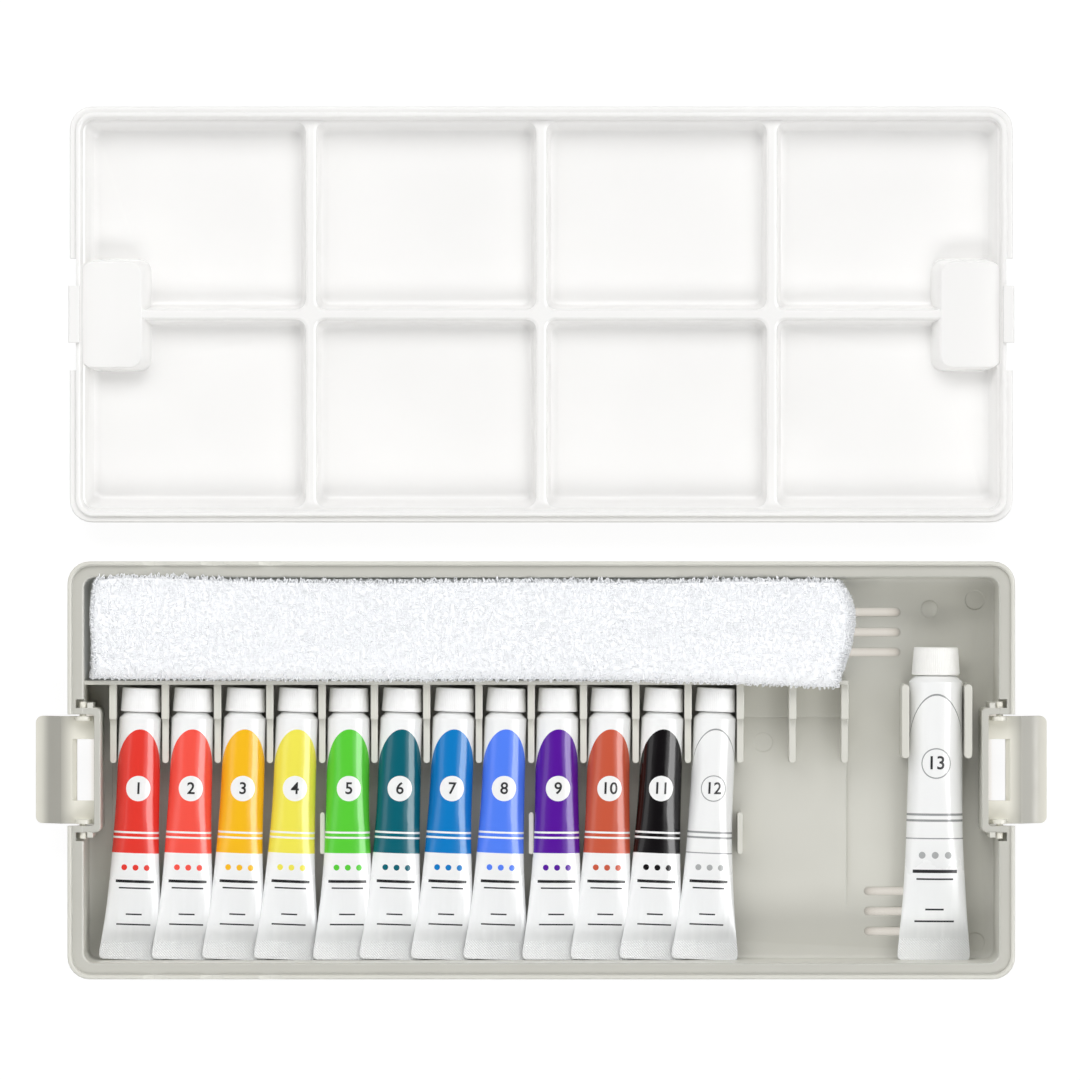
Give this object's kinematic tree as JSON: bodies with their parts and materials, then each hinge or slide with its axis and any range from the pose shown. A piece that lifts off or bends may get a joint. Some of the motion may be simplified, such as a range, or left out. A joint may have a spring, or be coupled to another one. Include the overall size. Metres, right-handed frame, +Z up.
{
  "type": "gouache paint set box",
  "caption": "Flat plastic paint set: a slotted tray of capped paint tubes with a folded towel and hinged end levers, and its lid, which is a palette of wells.",
  "frame": {"origin": "centre of the set's footprint, on the table", "axes": "+X along the box towards the large tube, +Y from the tray towards the lid behind it, +Z up"},
  "size_m": [0.3908, 0.337, 0.03],
  "materials": {
    "tray_plastic": "satin warm grey moulded plastic",
    "lid_plastic": "glossy white moulded plastic",
    "lever_plastic": "satin warm grey moulded plastic",
    "cap_plastic": "satin white, finely ribbed",
    "terry": "white looped terry cloth",
    "tube_large_white": "glossy white printed laminate",
    "tube_carmine": "glossy white laminate with a carmine print",
    "tube_scarlet": "glossy white laminate with a scarlet print",
    "tube_deep_yellow": "glossy white laminate with a deep yellow print",
    "tube_lemon_yellow": "glossy white laminate with a lemon yellow print",
    "tube_light_green": "glossy white laminate with a light green print",
    "tube_viridian": "glossy white laminate with a viridian print",
    "tube_sky_blue": "glossy white laminate with a sky blue print",
    "tube_ultramarine": "glossy white laminate with a ultramarine print",
    "tube_violet": "glossy white laminate with a violet print",
    "tube_burnt_sienna": "glossy white laminate with a burnt sienna print",
    "tube_jet_black": "glossy white laminate with a jet black print",
    "tube_titanium_white": "glossy white laminate with a titanium white print"
  },
  "bodies": {
    "tray": {"base_tray": "tray_plastic"},
    "lid": {"palette_lid": "lid_plastic"},
    "lever_left": {"latch_left": "lever_plastic"},
    "lever_right": {"latch_right": "lever_plastic"},
    "towel": {"towel": "terry"},
    "tube_01": {"tube_01": "tube_carmine"},
    "cap_01": {"cap_01": "cap_plastic"},
    "tube_02": {"tube_02": "tube_scarlet"},
    "cap_02": {"cap_02": "cap_plastic"},
    "tube_03": {"tube_03": "tube_deep_yellow"},
    "cap_03": {"cap_03": "cap_plastic"},
    "tube_04": {"tube_04": "tube_lemon_yellow"},
    "cap_04": {"cap_04": "cap_plastic"},
    "tube_05": {"tube_05": "tube_light_green"},
    "cap_05": {"cap_05": "cap_plastic"},
    "tube_06": {"tube_06": "tube_viridian"},
    "cap_06": {"cap_06": "cap_plastic"},
    "tube_07": {"tube_07": "tube_sky_blue"},
    "cap_07": {"cap_07": "cap_plastic"},
    "tube_08": {"tube_08": "tube_ultramarine"},
    "cap_08": {"cap_08": "cap_plastic"},
    "tube_09": {"tube_09": "tube_violet"},
    "cap_09": {"cap_09": "cap_plastic"},
    "tube_10": {"tube_10": "tube_burnt_sienna"},
    "cap_10": {"cap_10": "cap_plastic"},
    "tube_11": {"tube_11": "tube_jet_black"},
    "cap_11": {"cap_11": "cap_plastic"},
    "tube_12": {"tube_12": "tube_titanium_white"},
    "cap_12": {"cap_12": "cap_plastic"},
    "tube_large": {"tube_large": "tube_large_white"},
    "cap_large": {"cap_large": "cap_plastic"}
  },
  "joints": [
    {"name": "lid_lift", "type": "slide", "parent": "tray", "child": "lid", "axis": [0, 0, 1], "range_m": [0, 0.1]},
    {"name": "lever_left_hinge", "type": "hinge", "parent": "tray", "child": "lever_left", "pos_m": [-0.1767, -0.088, 0.0263], "axis": [0, 1, 0], "range_deg": [0, 90]},
    {"name": "lever_right_hinge", "type": "hinge", "parent": "tray", "child": "lever_right", "pos_m": [0.1767, -0.088, 0.0263], "axis": [0, -1, 0], "range_deg": [0, 90]},
    {"name": "towel_lift", "type": "slide", "parent": "tray", "child": "towel", "axis": [0, 0, 1], "range_m": [0, 0.06]},
    {"name": "tube_01_lift", "type": "slide", "parent": "tray", "child": "tube_01", "axis": [0, 0, 1], "range_m": [0, 0.06]},
    {"name": "cap_01_turn", "type": "hinge", "parent": "tube_01", "child": "cap_01", "pos_m": [-0.15504, -0.0657, 0.01365], "axis": [0.0332, 0.9995, 0], "range_deg": [0, 540]},
    {"name": "tube_02_lift", "type": "slide", "parent": "tray", "child": "tube_02", "axis": [0, 0, 1], "range_m": [0, 0.06]},
    {"name": "cap_02_turn", "type": "hinge", "parent": "tube_02", "child": "cap_02", "pos_m": [-0.13485, -0.0657, 0.01365], "axis": [0.0314, 0.9995, 0], "range_deg": [0, 540]},
    {"name": "tube_03_lift", "type": "slide", "parent": "tray", "child": "tube_03", "axis": [0, 0, 1], "range_m": [0, 0.06]},
    {"name": "cap_03_turn", "type": "hinge", "parent": "tube_03", "child": "cap_03", "pos_m": [-0.11454, -0.0657, 0.01365], "axis": [0.0419, 0.9991, 0], "range_deg": [0, 540]},
    {"name": "tube_04_lift", "type": "slide", "parent": "tray", "child": "tube_04", "axis": [0, 0, 1], "range_m": [0, 0.06]},
    {"name": "cap_04_turn", "type": "hinge", "parent": "tube_04", "child": "cap_04", "pos_m": [-0.09434, -0.0657, 0.01365], "axis": [0.0419, 0.9991, 0], "range_deg": [0, 540]},
    {"name": "tube_05_lift", "type": "slide", "parent": "tray", "child": "tube_05", "axis": [0, 0, 1], "range_m": [0, 0.06]},
    {"name": "cap_05_turn", "type": "hinge", "parent": "tube_05", "child": "cap_05", "pos_m": [-0.07452, -0.0657, 0.01365], "axis": [0.007, 1, 0], "range_deg": [0, 540]},
    {"name": "tube_06_lift", "type": "slide", "parent": "tray", "child": "tube_06", "axis": [0, 0, 1], "range_m": [0, 0.06]},
    {"name": "cap_06_turn", "type": "hinge", "parent": "tube_06", "child": "cap_06", "pos_m": [-0.054, -0.0657, 0.01365], "axis": [0.0366, 0.9993, 0], "range_deg": [0, 540]},
    {"name": "tube_07_lift", "type": "slide", "parent": "tray", "child": "tube_07", "axis": [0, 0, 1], "range_m": [0, 0.06]},
    {"name": "cap_07_turn", "type": "hinge", "parent": "tube_07", "child": "cap_07", "pos_m": [-0.03374, -0.0657, 0.01365], "axis": [0.0419, 0.9991, 0], "range_deg": [0, 540]},
    {"name": "tube_08_lift", "type": "slide", "parent": "tray", "child": "tube_08", "axis": [0, 0, 1], "range_m": [0, 0.06]},
    {"name": "cap_08_turn", "type": "hinge", "parent": "tube_08", "child": "cap_08", "pos_m": [-0.01373, -0.0657, 0.01365], "axis": [0.0244, 0.9997, 0], "range_deg": [0, 540]},
    {"name": "tube_09_lift", "type": "slide", "parent": "tray", "child": "tube_09", "axis": [0, 0, 1], "range_m": [0, 0.06]},
    {"name": "cap_09_turn", "type": "hinge", "parent": "tube_09", "child": "cap_09", "pos_m": [0.00628, -0.0657, 0.01365], "axis": [0.007, 1, 0], "range_deg": [0, 540]},
    {"name": "tube_10_lift", "type": "slide", "parent": "tray", "child": "tube_10", "axis": [0, 0, 1], "range_m": [0, 0.06]},
    {"name": "cap_10_turn", "type": "hinge", "parent": "tube_10", "child": "cap_10", "pos_m": [0.02665, -0.0657, 0.01365], "axis": [0.0227, 0.9997, 0], "range_deg": [0, 540]},
    {"name": "tube_11_lift", "type": "slide", "parent": "tray", "child": "tube_11", "axis": [0, 0, 1], "range_m": [0, 0.06]},
    {"name": "cap_11_turn", "type": "hinge", "parent": "tube_11", "child": "cap_11", "pos_m": [0.04706, -0.0657, 0.01365], "axis": [0.0419, 0.9991, 0], "range_deg": [0, 540]},
    {"name": "tube_12_lift", "type": "slide", "parent": "tray", "child": "tube_12", "axis": [0, 0, 1], "range_m": [0, 0.06]},
    {"name": "cap_12_turn", "type": "hinge", "parent": "tube_12", "child": "cap_12", "pos_m": [0.06726, -0.0657, 0.01365], "axis": [0.0419, 0.9991, 0], "range_deg": [0, 540]},
    {"name": "tube_large_lift", "type": "slide", "parent": "tray", "child": "tube_large", "axis": [0, 0, 1], "range_m": [0, 0.06]},
    {"name": "cap_large_turn", "type": "hinge", "parent": "tube_large", "child": "cap_large", "pos_m": [0.1527, -0.0516, 0.0127], "axis": [0, 1, 0], "range_deg": [0, 540]}
  ]
}
